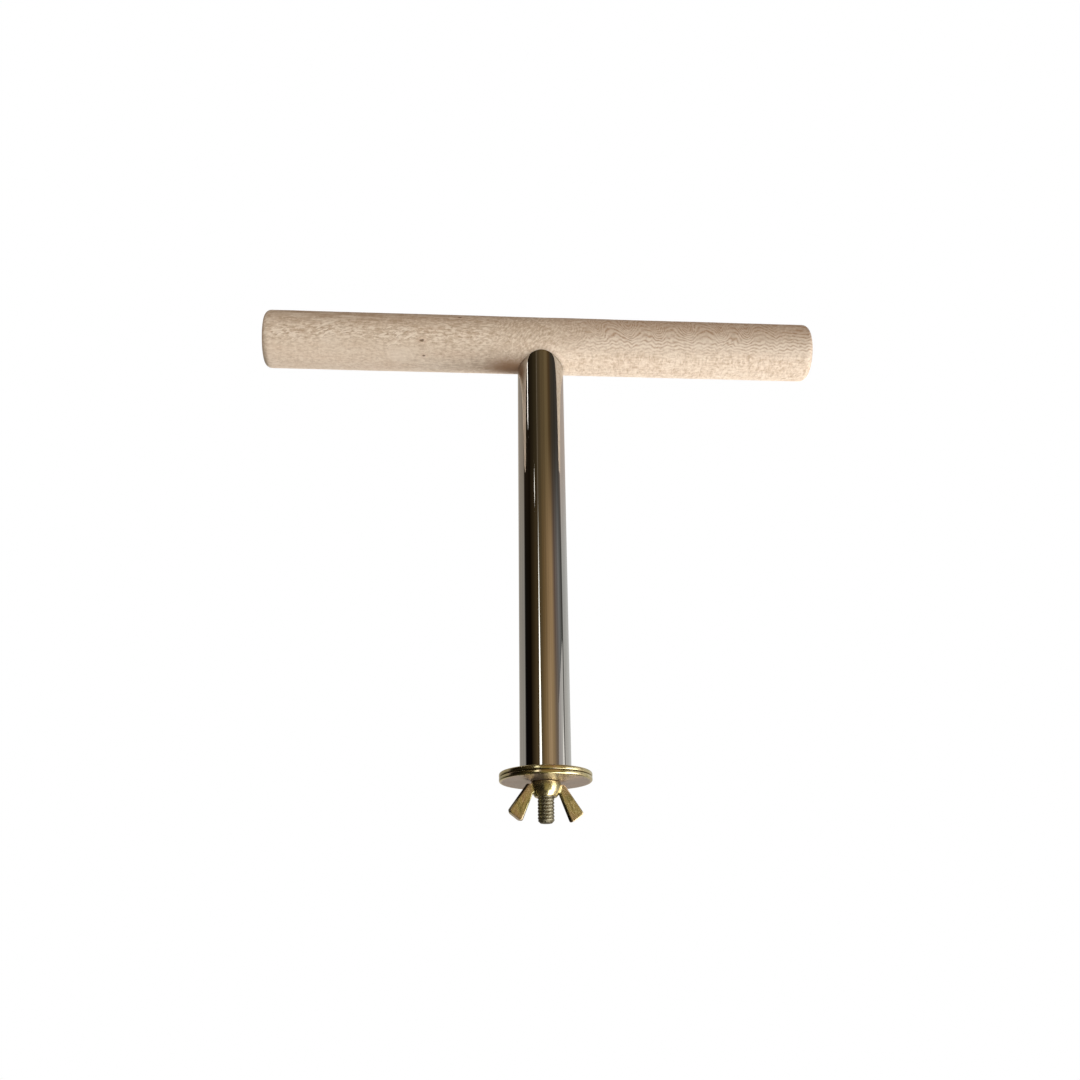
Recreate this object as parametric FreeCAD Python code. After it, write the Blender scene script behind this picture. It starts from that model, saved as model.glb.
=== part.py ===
"""Bird T-stand: a wooden perch dowel across the top of a polished steel post.

A tie rod runs down inside the post. Its threaded lower end carries two wide washers and a wing nut,
which clamp the stand to a cage wire or panel. The clamp plane, between the two washers, is z = 0,
the post stands along +Z and the dowel lies along X. All sizes are in millimetres.
"""

import FreeCAD, Part
import math
import os

from FreeCAD import Vector

# Perch dowel
dowel_diameter = 25.4
dowel_length = 242.0
dowel_end_rounding = 3.0
socket_floor_below_axis = 2.0
socket_clearance = 0.05

# Post tube
tube_diameter = 20.0
tube_wall = 1.0
tube_length = 188.5
tube_edge_break = 0.2

# Screw thread of the rod, the wing nut and the lock nut: a quarter inch, 20 turns to the inch
thread_diameter = 6.35
thread_pitch = 1.27
thread_crest_share = 0.125
thread_root_share = 0.16
thread_flank_angle = 30.0
thread_clearance = 0.1
thread_overlap = 0.1
thread_spare_turns = 1

# Tie rod
stud_free_length = 9.7
stud_chamfer = 0.9
rod_shank_diameter = 5.5
rod_grip = 8.0
rod_runout_turns = 2

# Threaded insert in the dowel
insert_diameter = 9.5
insert_length = 9.0
insert_barbs = 5
insert_barb_depth = 0.5
insert_room = 1.0

# Plug in the tube's lower end, and the lock nut in its recess
plug_length = 16.0
plug_lead_in = 1.0
plug_bore_clearance = 0.1
lock_nut_sides = 6
lock_nut_width = 11.1
lock_nut_height = 4.0
lock_nut_room = 0.5
lock_nut_cover = 0.4

# Clamp washers
washer_diameter = 36.0
washer_thickness = 1.7
washer_hole_clearance = 0.35
washer_rolled_edge = 0.6
washer_cut_edge = 0.25

# Wing nut: depths are measured down from the face that bears on the washer
hub_base_diameter = 11.4
hub_belly_diameter = 11.7
hub_belly_depth = 1.6
hub_tip_diameter = 8.4
hub_height = 5.8
hub_countersink = 0.5
wing_span = 29.8
wing_tip_gap = 19.0
wing_thickness = 3.2
wing_root_radius = 7.6
wing_root_depth = 0.8
wing_outer_depth = 11.2
wing_inner_depth = 14.7
wing_crotch_radius = 5.4
wing_crotch_depth = 4.8
wing_bury = 2.0
wing_corner_rounding = 1.0
wing_edge_rounding = 0.4
wing_rest_turn = 12.0

# Two lengths nearer than this count as the same
same_length = 1e-6

# Places worked out from the sizes above
UP = Vector(0, 0, 1)
ALONG_DOWEL = Vector(1, 0, 0)
ORIGIN = Vector(0, 0, 0)

dowel_radius = dowel_diameter / 2
tube_radius = tube_diameter / 2
tube_bore_radius = tube_radius - tube_wall
thread_radius = thread_diameter / 2
washer_radius = washer_diameter / 2
washer_hole_radius = thread_radius + washer_hole_clearance

tube_bottom = washer_thickness
tube_top = tube_bottom + tube_length
dowel_axis = tube_top + socket_floor_below_axis
nut_seat = -washer_thickness
stud_tip = nut_seat - hub_height - stud_free_length
lock_nut_bottom = tube_bottom + lock_nut_cover
lock_nut_top = lock_nut_bottom + lock_nut_height
thread_top = lock_nut_top + rod_runout_turns * thread_pitch
shank_bottom = thread_top + thread_pitch
rod_top = tube_top + rod_grip

flank_slope = math.tan(math.radians(thread_flank_angle))
thread_crest = thread_pitch * thread_crest_share
thread_root = thread_pitch * thread_root_share
thread_depth = (thread_pitch - thread_crest - thread_root) / (2 * flank_slope)
thread_core_radius = thread_radius - thread_depth
thread_spare = thread_spare_turns * thread_pitch


def cylinder(radius, bottom, top):
    """An upright cylinder on the post's axis."""
    return Part.makeCylinder(radius, top - bottom, Vector(0, 0, bottom), UP)


def ring(outer_radius, inner_radius, bottom, top):
    """An upright tube on the post's axis."""
    return cylinder(outer_radius, bottom, top).cut(cylinder(inner_radius, bottom, top))


def turned(outline):
    """A solid of revolution about the post's axis, from (radius, height) corners."""
    corners = [Vector(radius, 0, height) for radius, height in outline]
    face = Part.Face(Part.makePolygon(corners + corners[:1]))
    return face.revolve(ORIGIN, UP, 360)


def rounded(solid, radius, chosen):
    """The solid with the edges that `chosen` picks rounded."""
    return solid.makeFillet(radius, [edge for edge in solid.Edges if chosen(edge)])


def is_ring(edge, radius, height):
    """Whether an edge is the circle of this radius at this height on the post's axis."""
    if not isinstance(edge.Curve, Part.Circle):
        return False
    same_radius = math.isclose(edge.Curve.Radius, radius, abs_tol=same_length)
    return same_radius and math.isclose(edge.Curve.Center.z, height, abs_tol=same_length)


def thread_ridge(bottom, turns, inner_radius, clearance):
    """The helical ridge of the screw thread, grown by `clearance` on its flanks and crest.

    Every ridge starts a whole number of turns above the stud's tip, so rod and nut are in mesh.
    """
    outer_radius = thread_radius + clearance

    def half_width(radius):
        return thread_crest / 2 + flank_slope * (thread_radius - radius) + clearance

    inner, outer = half_width(inner_radius), half_width(outer_radius)
    corners = [
        Vector(inner_radius, 0, -inner),
        Vector(outer_radius, 0, -outer),
        Vector(outer_radius, 0, outer),
        Vector(inner_radius, 0, inner),
    ]
    profile = Part.makePolygon(corners + corners[:1])
    helix = Part.makeHelix(thread_pitch, turns * thread_pitch, thread_radius)
    ridge = Part.Wire(helix.Edges).makePipeShell([profile], True, True)
    first_turn = math.floor((bottom - stud_tip) / thread_pitch)
    ridge.translate(Vector(0, 0, stud_tip + first_turn * thread_pitch))
    return ridge


def perch_dowel():
    """Round dowel with rounded ends, a socket for the tube and a bore for the threaded insert."""
    start = Vector(-dowel_length / 2, 0, dowel_axis)
    dowel = Part.makeCylinder(dowel_radius, dowel_length, start, ALONG_DOWEL)
    dowel = rounded(dowel, dowel_end_rounding, lambda edge: isinstance(edge.Curve, Part.Circle))
    socket = cylinder(tube_radius + socket_clearance, dowel_axis - dowel_diameter, tube_top)
    insert_bore = cylinder(insert_diameter / 2, tube_top, tube_top + insert_length + insert_room)
    return dowel.cut(socket).cut(insert_bore)


def threaded_insert():
    """Barbed brass insert that the rod screws into."""
    tip_radius = insert_diameter / 2
    root_radius = tip_radius - insert_barb_depth
    bore_radius = thread_radius + thread_clearance
    barb_height = insert_length / insert_barbs
    outline = [(bore_radius, tube_top)]
    for barb in range(insert_barbs):
        shoulder = tube_top + barb * barb_height
        outline.append((tip_radius, shoulder))
        outline.append((root_radius, shoulder + barb_height))
    outline.append((bore_radius, tube_top + insert_length))
    return turned(outline)


def post_tube():
    """Polished tube between the washer and the dowel's socket."""
    tube = ring(tube_radius, tube_bore_radius, tube_bottom, tube_top)
    return rounded(tube, tube_edge_break, lambda edge: is_ring(edge, tube_radius, tube_bottom))


def tube_plug():
    """Plug pressed into the tube's lower end, with a recess for the lock nut."""
    plug_top = tube_bottom + plug_length
    recess_radius = lock_nut_width / 2 / math.cos(math.pi / lock_nut_sides) + lock_nut_room
    bore_radius = thread_radius + plug_bore_clearance
    return turned(
        [
            (recess_radius, tube_bottom),
            (tube_bore_radius, tube_bottom),
            (tube_bore_radius, plug_top - plug_lead_in),
            (tube_bore_radius - plug_lead_in, plug_top),
            (bore_radius, plug_top),
            (bore_radius, lock_nut_top),
            (recess_radius, lock_nut_top),
        ]
    )


def tie_rod():
    """Rod from the dowel's insert to the stud end, with its real helical thread below."""
    turns = (thread_top - stud_tip) / thread_pitch + thread_spare_turns
    ridge = thread_ridge(stud_tip - thread_spare, turns, thread_core_radius - thread_overlap, 0)
    core_bottom = stud_tip - 2 * thread_spare
    core = cylinder(thread_core_radius, core_bottom, shank_bottom)
    below_tip = cylinder(thread_diameter, core_bottom - 2 * thread_spare, stud_tip)
    threaded = core.fuse(ridge).cut(below_tip)
    chamfer = turned(
        [
            (thread_radius - stud_chamfer, stud_tip),
            (thread_diameter, stud_tip),
            (thread_diameter, stud_tip + stud_chamfer + thread_radius),
        ]
    )
    upper = turned(
        [
            (0, shank_bottom),
            (rod_shank_diameter / 2, shank_bottom),
            (rod_shank_diameter / 2, tube_top - insert_length),
            (thread_radius, tube_top - insert_length),
            (thread_radius, rod_top - stud_chamfer),
            (thread_radius - stud_chamfer, rod_top),
            (0, rod_top),
        ]
    )
    return threaded.cut(chamfer).fuse(upper)


def lock_nut():
    """Hexagon nut that holds the rod, plug and tube together when the wing nut is off."""
    corner_radius = lock_nut_width / 2 / math.cos(math.pi / lock_nut_sides)
    corners = []
    for side in range(lock_nut_sides):
        angle = 2 * math.pi * side / lock_nut_sides
        across = Vector(math.cos(angle), math.sin(angle), 0) * corner_radius
        corners.append(across + Vector(0, 0, lock_nut_bottom))
    hexagon = Part.Face(Part.makePolygon(corners + corners[:1]))
    nut = hexagon.extrude(Vector(0, 0, lock_nut_height))
    bevel = corner_radius - lock_nut_width / 2
    envelope = turned(
        [
            (0, lock_nut_bottom),
            (lock_nut_width / 2, lock_nut_bottom),
            (corner_radius + bevel, lock_nut_bottom + bevel),
            (corner_radius + bevel, lock_nut_top),
            (0, lock_nut_top),
        ]
    )
    bore = cylinder(thread_radius + thread_clearance, lock_nut_bottom, lock_nut_top)
    return nut.common(envelope).cut(bore)


def clamp_washer(bottom, rolled_face):
    """Wide stamped washer: one edge is rolled over by the punch, the other nearly sharp."""
    top = bottom + washer_thickness
    cut_face = top if rolled_face == bottom else bottom
    washer = ring(washer_radius, washer_hole_radius, bottom, top)
    washer = rounded(washer, washer_rolled_edge, lambda edge: is_ring(edge, washer_radius, rolled_face))
    return rounded(washer, washer_cut_edge, lambda edge: is_ring(edge, washer_radius, cut_face))


def nut_hub():
    """Domed hub of the wing nut, turned from an arc."""
    def at(diameter, depth):
        return Vector(diameter / 2, 0, nut_seat - depth)

    base = at(hub_base_diameter, 0)
    belly = at(hub_belly_diameter, hub_belly_depth)
    tip = at(hub_tip_diameter, hub_height)
    edges = [
        Part.makeLine(at(0, 0), base),
        Part.Arc(base, belly, tip).toShape(),
        Part.makeLine(tip, at(0, hub_height)),
        Part.makeLine(at(0, hub_height), at(0, 0)),
    ]
    return Part.Face(Part.Wire(edges)).revolve(ORIGIN, UP, 360)


def nut_wing():
    """One straight, blunt wing that leans outwards and widens to its tip."""
    outline = [
        (hub_base_diameter / 2 - wing_bury, wing_root_depth),
        (wing_root_radius, wing_root_depth),
        (wing_span / 2, wing_outer_depth),
        (wing_tip_gap / 2, wing_inner_depth),
        (wing_crotch_radius, wing_crotch_depth),
        (hub_tip_diameter / 2 - wing_bury, wing_crotch_depth - wing_bury),
    ]
    half = wing_thickness / 2
    corners = [Vector(radius, -half, nut_seat - depth) for radius, depth in outline]
    face = Part.Face(Part.makePolygon(corners + corners[:1]))
    wing = face.extrude(Vector(0, wing_thickness, 0))

    def across(edge):
        start, end = edge.Vertexes[0].Point, edge.Vertexes[-1].Point
        crosses = math.isclose(abs(end.y - start.y), wing_thickness, abs_tol=same_length)
        return crosses and start.x > wing_tip_gap / 2 - wing_corner_rounding

    def on_outline(edge):
        box = edge.BoundBox
        return box.YLength < same_length and box.XMax > wing_root_radius

    wing = rounded(wing, wing_corner_rounding, across)
    return rounded(wing, wing_edge_rounding, on_outline)


def wing_nut():
    """Wing nut: domed hub, two wings and a tapped hole in mesh with the rod."""
    near_wing = nut_wing()
    far_wing = nut_wing()
    far_wing.rotate(ORIGIN, UP, 180)
    nut = nut_hub().fuse([near_wing, far_wing])
    nut.rotate(ORIGIN, UP, wing_rest_turn)
    bottom = nut_seat - hub_height
    bore_radius = thread_core_radius + thread_clearance
    tap_bottom = bottom - 2 * thread_spare
    turns = hub_height / thread_pitch + 4 * thread_spare_turns
    ridge = thread_ridge(tap_bottom, turns, bore_radius - thread_overlap / 2, thread_clearance)
    tap = cylinder(bore_radius, tap_bottom, nut_seat + 3 * thread_spare).fuse(ridge)
    mouth_radius = thread_radius + hub_countersink
    for face_height, inward in ((bottom, 1), (nut_seat, -1)):
        sink = turned(
            [
                (0, face_height - inward * hub_countersink),
                (mouth_radius + hub_countersink, face_height - inward * hub_countersink),
                (0, face_height + inward * mouth_radius),
            ]
        )
        nut = nut.cut(sink)
    return nut.cut(tap)


def build():
    """Every piece of the stand by its name."""
    return {
        "perch_dowel": perch_dowel(),
        "threaded_insert": threaded_insert(),
        "post_tube": post_tube(),
        "tube_plug": tube_plug(),
        "tie_rod": tie_rod(),
        "lock_nut": lock_nut(),
        "upper_washer": clamp_washer(0, washer_thickness),
        "lower_washer": clamp_washer(nut_seat, nut_seat),
        "wing_nut": wing_nut(),
    }


os.makedirs("parts", exist_ok=True)
for name, solid in build().items():
    solid.exportStep(f"parts/{name}.step")
    print(name, solid.isValid(), len(solid.Solids), round(solid.Volume, 2))
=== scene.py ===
"""Looks of the bird T-stand: a pale wooden perch on a mirror-polished post, with its zinc-plated clamp.

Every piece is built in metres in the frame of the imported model: z = 0 is the clamp plane between the
two washers, the post stands along +Z and the perch lies along X.
"""

from math import ceil, cos, pi, radians, sin, tan, tau

import bmesh
import bpy
from bpy.props import FloatProperty, FloatVectorProperty, IntProperty, PointerProperty
from mathutils import Matrix, Vector, noise


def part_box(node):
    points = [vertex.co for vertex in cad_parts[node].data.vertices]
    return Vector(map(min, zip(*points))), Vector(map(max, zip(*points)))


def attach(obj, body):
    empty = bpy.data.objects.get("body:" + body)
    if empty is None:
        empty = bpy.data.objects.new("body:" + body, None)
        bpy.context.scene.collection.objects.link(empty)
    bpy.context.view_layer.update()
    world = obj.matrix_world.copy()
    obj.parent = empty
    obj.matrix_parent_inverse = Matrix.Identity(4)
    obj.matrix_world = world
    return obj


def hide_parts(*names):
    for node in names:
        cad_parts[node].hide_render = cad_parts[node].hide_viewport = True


bl_info = {
    "name": "Bird T-stand",
    "version": (1, 0, 0),
    "blender": (4, 5, 0),
    "location": "View3D > Sidebar > T-stand",
    "description": "Builds the perch, post and clamp of a bird T-stand, and the stage it is shown on",
    "category": "Add Mesh",
}

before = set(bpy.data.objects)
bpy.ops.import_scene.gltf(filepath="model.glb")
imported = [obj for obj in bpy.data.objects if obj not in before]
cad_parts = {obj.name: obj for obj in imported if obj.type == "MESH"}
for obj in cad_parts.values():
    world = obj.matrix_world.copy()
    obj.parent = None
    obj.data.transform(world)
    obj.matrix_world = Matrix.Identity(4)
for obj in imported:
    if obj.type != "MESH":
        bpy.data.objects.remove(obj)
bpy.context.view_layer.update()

MM = 0.001
WELD = 0.002 * MM

dowel_low, dowel_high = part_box("perch_dowel")
insert_low, insert_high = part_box("threaded_insert")
tube_low, tube_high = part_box("post_tube")
rod_low, rod_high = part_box("tie_rod")
upper_low, upper_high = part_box("upper_washer")
lower_low, lower_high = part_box("lower_washer")
nut_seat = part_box("wing_nut")[1].z
dowel_axis = (dowel_low.z + dowel_high.z) / 2


# Settings that a user can change


def setting(kind, **limits):
    """A maker of settings of one kind, each with a name, a description and a default."""

    def make(name, description, default):
        return kind(name=name, description=description, default=default, **limits)

    return make


# Lengths in metres, colours in linear light, shares from 0 to 1, angles in radians, powers in watts, counts
size = setting(FloatProperty, unit="LENGTH", precision=5)
colour = setting(FloatVectorProperty, subtype="COLOR", min=0.0, max=1.0)
share = setting(FloatProperty, subtype="FACTOR", min=0.0, max=1.0)
angle = setting(FloatProperty, unit="ROTATION")
power = setting(FloatProperty, unit="POWER")
count = setting(IntProperty, min=6)


class PerchSettings(bpy.types.PropertyGroup):
    """Sizes and tones of the wooden perch."""

    diameter: size("Diameter", "Diameter of the dowel", dowel_high.z - dowel_low.z)
    length: size("Length", "Length of the dowel", dowel_high.x - dowel_low.x)
    end_rounding: size("End rounding", "Radius of the sanded ends", 3.0 * MM)
    socket_gap: size("Socket gap", "Gap round the post in its socket", 0.08 * MM)
    insert_room: size("Insert room", "Depth of the bore past the insert", 1.0 * MM)
    unevenness: size("Unevenness", "How far the sanded surface strays from a true round", 0.07 * MM)
    ring_spacing: size("Ring spacing", "Distance between growth rings", 1.42 * MM)
    early_wood: colour("Early wood", "Pale wood between the rings", (0.63, 0.50, 0.375))
    late_wood: colour("Late wood", "Darker line of each ring", (0.37, 0.25, 0.162))
    ring_brown: colour("Ring brown", "Warm brown of the rings", (0.40, 0.225, 0.125))
    blush: colour("Blush", "Pinkish patches", (0.62, 0.445, 0.315))
    pale_patch: colour("Pale patch", "Whitish patches", (0.825, 0.715, 0.59))
    knot: colour("Knot", "Small dark knots", (0.13, 0.075, 0.04))
    end_grain: colour("End grain", "Darker wood of the cut ends", (0.44, 0.29, 0.175))


class PostSettings(bpy.types.PropertyGroup):
    """Sizes and finish of the polished post."""

    diameter: size("Diameter", "Outer diameter of the tube", tube_high.x - tube_low.x)
    wall: size("Wall", "Wall thickness of the tube", 1.0 * MM)
    edge_break: size("Edge break", "Radius of the polished lower edge", 0.2 * MM)
    steel: colour("Steel", "Colour of the polished steel", (0.60, 0.59, 0.57))
    polish: share("Roughness", "Roughness where the polish is best", 0.025)
    wear: share("Handling", "Extra roughness where it has been handled", 0.07)


class RodSettings(bpy.types.PropertyGroup):
    """Sizes and finish of the tie rod with its threaded stud."""

    thread_diameter: size("Thread diameter", "Diameter over the thread", 6.35 * MM)
    pitch: size("Pitch", "Distance between thread turns", 1.27 * MM)
    crest_share: share("Crest share", "Width of the thread's crest over the pitch", 0.44)
    root_share: share("Root share", "Width of the thread's root over the pitch", 0.33)
    flank_angle: angle("Flank angle", "Slope of the thread's flanks", radians(30.0))
    thread_length: size("Thread length", "Length of the threaded end", 27.0 * MM)
    chamfer: size("Chamfer", "Chamfer on the rod's ends", 0.9 * MM)
    shank_diameter: size("Shank diameter", "Diameter of the plain shank", 5.5 * MM)
    around: count("Steps round", "Mesh steps round the thread", 96)
    per_turn: count("Rows per turn", "Mesh rows on each turn", 14)
    plating: colour("Plating", "Colour of the dull plating", (0.265, 0.245, 0.178))
    # The darker tone paints shade in the thread's root; the lock nut takes it as tarnish
    dark_plating: colour("Grime", "Darker tone in the thread's root", (0.215, 0.192, 0.128))


class ClampSettings(bpy.types.PropertyGroup):
    """Sizes and finish of the washers and the wing nut."""

    washer_diameter: size("Washer diameter", "Outer diameter of a washer", upper_high.x - upper_low.x)
    washer_hole: size("Washer hole", "Diameter of a washer's hole", 7.05 * MM)
    hole_bevel: size("Hole bevel", "Bevel of a washer's hole", 0.15 * MM)
    rolled_edge: size("Rolled edge", "Radius of the edge that the punch rolls over", 0.6 * MM)
    cut_edge: size("Cut edge", "Radius of the nearly sharp edge", 0.25 * MM)
    dish: size("Dish", "How far each washer's rim bends away from the other washer", 0.12 * MM)
    hub_base: size("Hub base", "Diameter of the hub at the washer", 11.4 * MM)
    seat_bevel: size("Seat bevel", "Bevel of the hub's seat", 0.35 * MM)
    hub_belly: size("Hub belly", "Largest diameter of the hub", 11.7 * MM)
    hub_belly_depth: size("Hub belly depth", "Depth of the largest diameter", 1.6 * MM)
    hub_tip: size("Hub tip", "Diameter of the hub at its free end", 8.4 * MM)
    hub_height: size("Hub height", "Height of the hub", 5.8 * MM)
    countersink: size("Countersink", "Depth of the countersink at each mouth of the thread", 0.5 * MM)
    thread_gap: size("Thread gap", "Room between the nut's thread and the rod's", 0.1 * MM)
    wing_span: size("Wing span", "Distance over the wing tips", 30.6 * MM)
    wing_gap: size("Wing gap", "Distance between the inner corners of the tips", 19.0 * MM)
    wing_thickness: size("Wing thickness", "Thickness of a wing", 3.2 * MM)
    wing_rounding: size("Wing rounding", "Radius of the wings' long edges", 0.35 * MM)
    tip_rounding: size("Tip rounding", "Radius of the corners of the wing tips", 1.0 * MM)
    wing_draft: size("Wing draft", "How far the wings' narrow sides bulge at mid thickness", 0.65 * MM)
    wing_taper: share("Wing taper", "Loss of the wings' thickness from root to tip", 0.22)
    wing_drop: size("Wing drop", "Depth of the wings' inner corners", 15.4 * MM)
    wing_shoulder: size("Wing shoulder", "Depth of the wings' outer corners", 11.4 * MM)
    forged_detail: size("Forged detail", "Smallest detail of the forged surface", 0.15 * MM)
    rest_turn: angle("Rest turn", "Turn of the wings from the perch's line", radians(12.0))
    gold: colour("Gold", "Yellow of the passivated zinc", (0.68, 0.59, 0.335))
    olive: colour("Olive", "Greenish tone of the passivated zinc", (0.44, 0.41, 0.215))
    rose: colour("Rose", "Pinkish tone of the passivated zinc", (0.64, 0.47, 0.36))
    mauve: colour("Mauve", "Greyish tone on the washers' flat faces", (0.475, 0.39, 0.335))


class StageSettings(bpy.types.PropertyGroup):
    """Floor, lamps, reflection panels and camera."""

    floor_height: size("Floor height", "Height of the floor below the clamp", -0.60)
    floor_radius: size("Floor radius", "Radius of the floor", 6.0)
    floor_colour: colour("Floor colour", "Colour of the floor near the stand", (0.86, 0.86, 0.86))
    far_floor: colour("Far floor", "Tone of the far floor as it lights the stand", (0.3, 0.3, 0.3))
    floor_glow: share("Floor glow", "How far the near floor is lifted to white where it is seen", 0.65)
    sky: share("Surrounding light", "Strength of the even light from all round", 0.23)
    sky_tone: colour("Surrounding tone", "Colour of the even light from all round", (1.0, 0.90, 0.79))
    key_power: power("Key power", "Lamp from low on the right, which shades the left", 16.0)
    fill_power: power("Fill power", "Broad lamp from the front", 4.8)
    back_power: power("Back power", "Weak broad lamp from behind", 4.0)
    panel_distance: size("Panel distance", "Distance of the reflection panels from the post", 0.9)
    floor_panel_rise: size("Floor panel rise", "Height of the floor's panels above the floor", 5.0 * MM)
    floor_panel_radius: size("Floor panel radius", "Radius of the floor's panels", 1.17)
    screen_top: size("Screen top", "Upper edge of the low screens", 0.165)
    screen_fade: size("Screen fade", "Height at which the low screens start to fade out", 0.06)
    room_low: size("Room low", "Height below which the room has its low tones", 0.20)
    room_middle: size("Room middle", "Height at which the room has its middle tones", 0.40)
    room_high: size("Room high", "Height above which the room has its high tones", 0.62)
    room_top: size("Room top", "Upper edge of the room", 8.0)
    view_turn: angle("View turn", "Direction of the camera round the post", radians(-4.2299))
    view_rise: angle("View rise", "Height of the camera as an angle", radians(-22.157))
    view_roll: angle("View roll", "Tilt of the camera", radians(-0.6977))
    view_distance: size("View distance", "Distance of the camera from its aim", 0.485852)
    aim_height: size("Aim height", "Height that the camera looks at", 0.098763)
    aim_shift: size("Aim shift", "Sideways move of the camera", -0.0010707)
    lens: FloatProperty(name="Lens", description="Focal length", default=38.874, unit="CAMERA")


# Tones of the room that the post mirrors: degrees from the camera's side, rising to the right,
# then the tone low down, at mid height and high up
ROOM = (
    (-180.0, (0.58, 0.55, 0.51), (0.55, 0.52, 0.48), (0.53, 0.455, 0.39)),
    (-150.0, (0.45, 0.42, 0.37), (0.42, 0.385, 0.33), (0.46, 0.40, 0.33)),
    (-101.0, (0.45, 0.42, 0.38), (0.40, 0.37, 0.335), (0.40, 0.335, 0.27)),
    (-94.0, (0.004, 0.003, 0.003), (0.010, 0.008, 0.006), (0.03, 0.02, 0.012)),
    (-62.0, (0.006, 0.004, 0.002), (0.008, 0.005, 0.002), (0.014, 0.009, 0.005)),
    (-34.0, (0.11, 0.075, 0.034), (0.075, 0.050, 0.022), (0.045, 0.033, 0.016)),
    (-12.0, (0.15, 0.105, 0.050), (0.12, 0.085, 0.040), (0.105, 0.075, 0.038)),
    (2.0, (0.29, 0.185, 0.080), (0.20, 0.125, 0.050), (0.16, 0.110, 0.052)),
    (28.0, (0.59, 0.41, 0.23), (0.42, 0.275, 0.14), (0.23, 0.160, 0.075)),
    (40.0, (0.42, 0.29, 0.155), (0.50, 0.33, 0.17), (0.11, 0.065, 0.027)),
    (53.0, (0.26, 0.19, 0.13), (0.18, 0.125, 0.095), (0.070, 0.055, 0.038)),
    (76.0, (0.21, 0.21, 0.21), (0.26, 0.255, 0.25), (0.065, 0.057, 0.048)),
    (88.0, (0.17, 0.175, 0.17), (0.15, 0.150, 0.140), (0.090, 0.075, 0.065)),
    (97.0, (0.06, 0.056, 0.052), (0.05, 0.048, 0.042), (0.36, 0.29, 0.25)),
    (104.0, (0.70, 0.68, 0.64), (0.60, 0.60, 0.575), (0.74, 0.62, 0.54)),
    (150.0, (0.74, 0.74, 0.72), (0.68, 0.68, 0.66), (0.60, 0.51, 0.45)),
    (180.0, (0.58, 0.55, 0.51), (0.55, 0.52, 0.48), (0.53, 0.455, 0.39)),
)

# Bright shapes in front of the room: name, columns of degrees with lower and upper edge, and the tone,
# which may change to another one between two heights
WINDOWS = (
    (
        "long_window",
        (
            (-25.0, -0.1, 0.14),
            (-21.4, -0.1, 0.36),
            (-20.5, -0.1, 1.00),
            (-19.4, -0.1, 1.00),
            (-18.6, -0.1, 0.36),
            (-15.0, -0.1, 0.14),
        ),
        ((2.6, 2.6, 2.45), (0.24, 0.20, 0.15), 0.34, 0.52),
    ),
    ("upper_slit", ((-70.0, 0.62, 1.2), (-68.3, 0.60, 1.2)), ((4.5, 4.4, 4.2),)),
    (
        "short_slit",
        ((-37.6, 0.515, 0.525), (-36.5, 0.493, 0.553), (-35.4, 0.515, 0.525)),
        ((2.0, 1.9, 1.75),),
    ),
    (
        "wedge_left",
        ((62.0, -0.1, 0.16), (66.0, -0.1, 0.245), (77.0, -0.1, 0.28)),
        ((0.52, 0.49, 0.475),),
    ),
    (
        "wedge_middle",
        ((77.0, -0.1, 0.28), (82.0, -0.1, 0.295), (87.0, -0.1, 0.31)),
        ((0.62, 0.60, 0.575),),
    ),
    (
        "wedge_right",
        ((87.0, -0.1, 0.31), (90.0, -0.1, 0.318), (94.0, -0.1, 0.325)),
        ((1.36, 1.32, 1.26), (0.68, 0.66, 0.63), 0.18, 0.25),
    ),
)

# Low screens that the clamp mirrors: name, left and right in degrees, and the tone, which may change
# to another one between two places along an axis
SCREENS = (
    ("low_dark", -110.0, -10.0, ((0.018, 0.015, 0.009),)),
    ("low_table", -10.0, 50.0, ((0.315, 0.265, 0.120),)),
    ("low_bright", 50.0, 84.0, ((4.0, 4.0, 3.9),)),
    ("low_side", 84.0, 105.0, ((0.9, 0.80, 0.74),)),
    ("low_back", 105.0, 250.0, ((0.018, 0.015, 0.009), (0.58, 0.54, 0.48), -0.80, -0.10, 0)),
)

# Sectors of the floor that the clamp mirrors: name, left and right in degrees, tone
CLOTHS = (
    ("dark_cloth", -262.0, 0.0, (0.05, 0.042, 0.024)),
    ("half_cloth", 0.0, 32.0, (0.24, 0.21, 0.13)),
    ("white_cloth", 32.0, 80.0, (5.5, 5.5, 5.4)),
    ("rose_cloth", 80.0, 98.0, (0.90, 0.66, 0.58)),
)

# Share of the panel distance at which the bright shapes and the low screens stand
WINDOW_REACH = 0.98
SCREEN_REACH = 0.96


# Nodes of materials and meshes


def add(tree, kind, sockets=None, settings=None, output=0):
    """Adds a node: its settings first, then the values or links of its sockets. Gives an output."""
    made = tree.nodes.new(kind)
    for name, value in (settings or {}).items():
        setattr(made, name, value)
    inputs = [socket for socket in made.inputs if socket.enabled]
    outputs = [socket for socket in made.outputs if socket.enabled]
    for key, value in (sockets or {}).items():
        if isinstance(key, int):
            socket = inputs[key]
        else:
            socket = next(candidate for candidate in inputs if candidate.name == key)
        if isinstance(value, Wire):
            tree.links.new(value.socket, socket)
        else:
            socket.default_value = value
    if isinstance(output, str):
        return Wire(next(socket for socket in outputs if socket.name == output))
    return Wire(outputs[output]) if outputs else None


def maths(operation, swapped=False):
    """A method of Wire that adds a Math node, with the wire as its first value or, swapped, its last."""

    def method(self, *others):
        values = (*others, self) if swapped else (self, *others)
        return add(self.tree, "ShaderNodeMath", dict(enumerate(values)), {"operation": operation})

    return method


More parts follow.
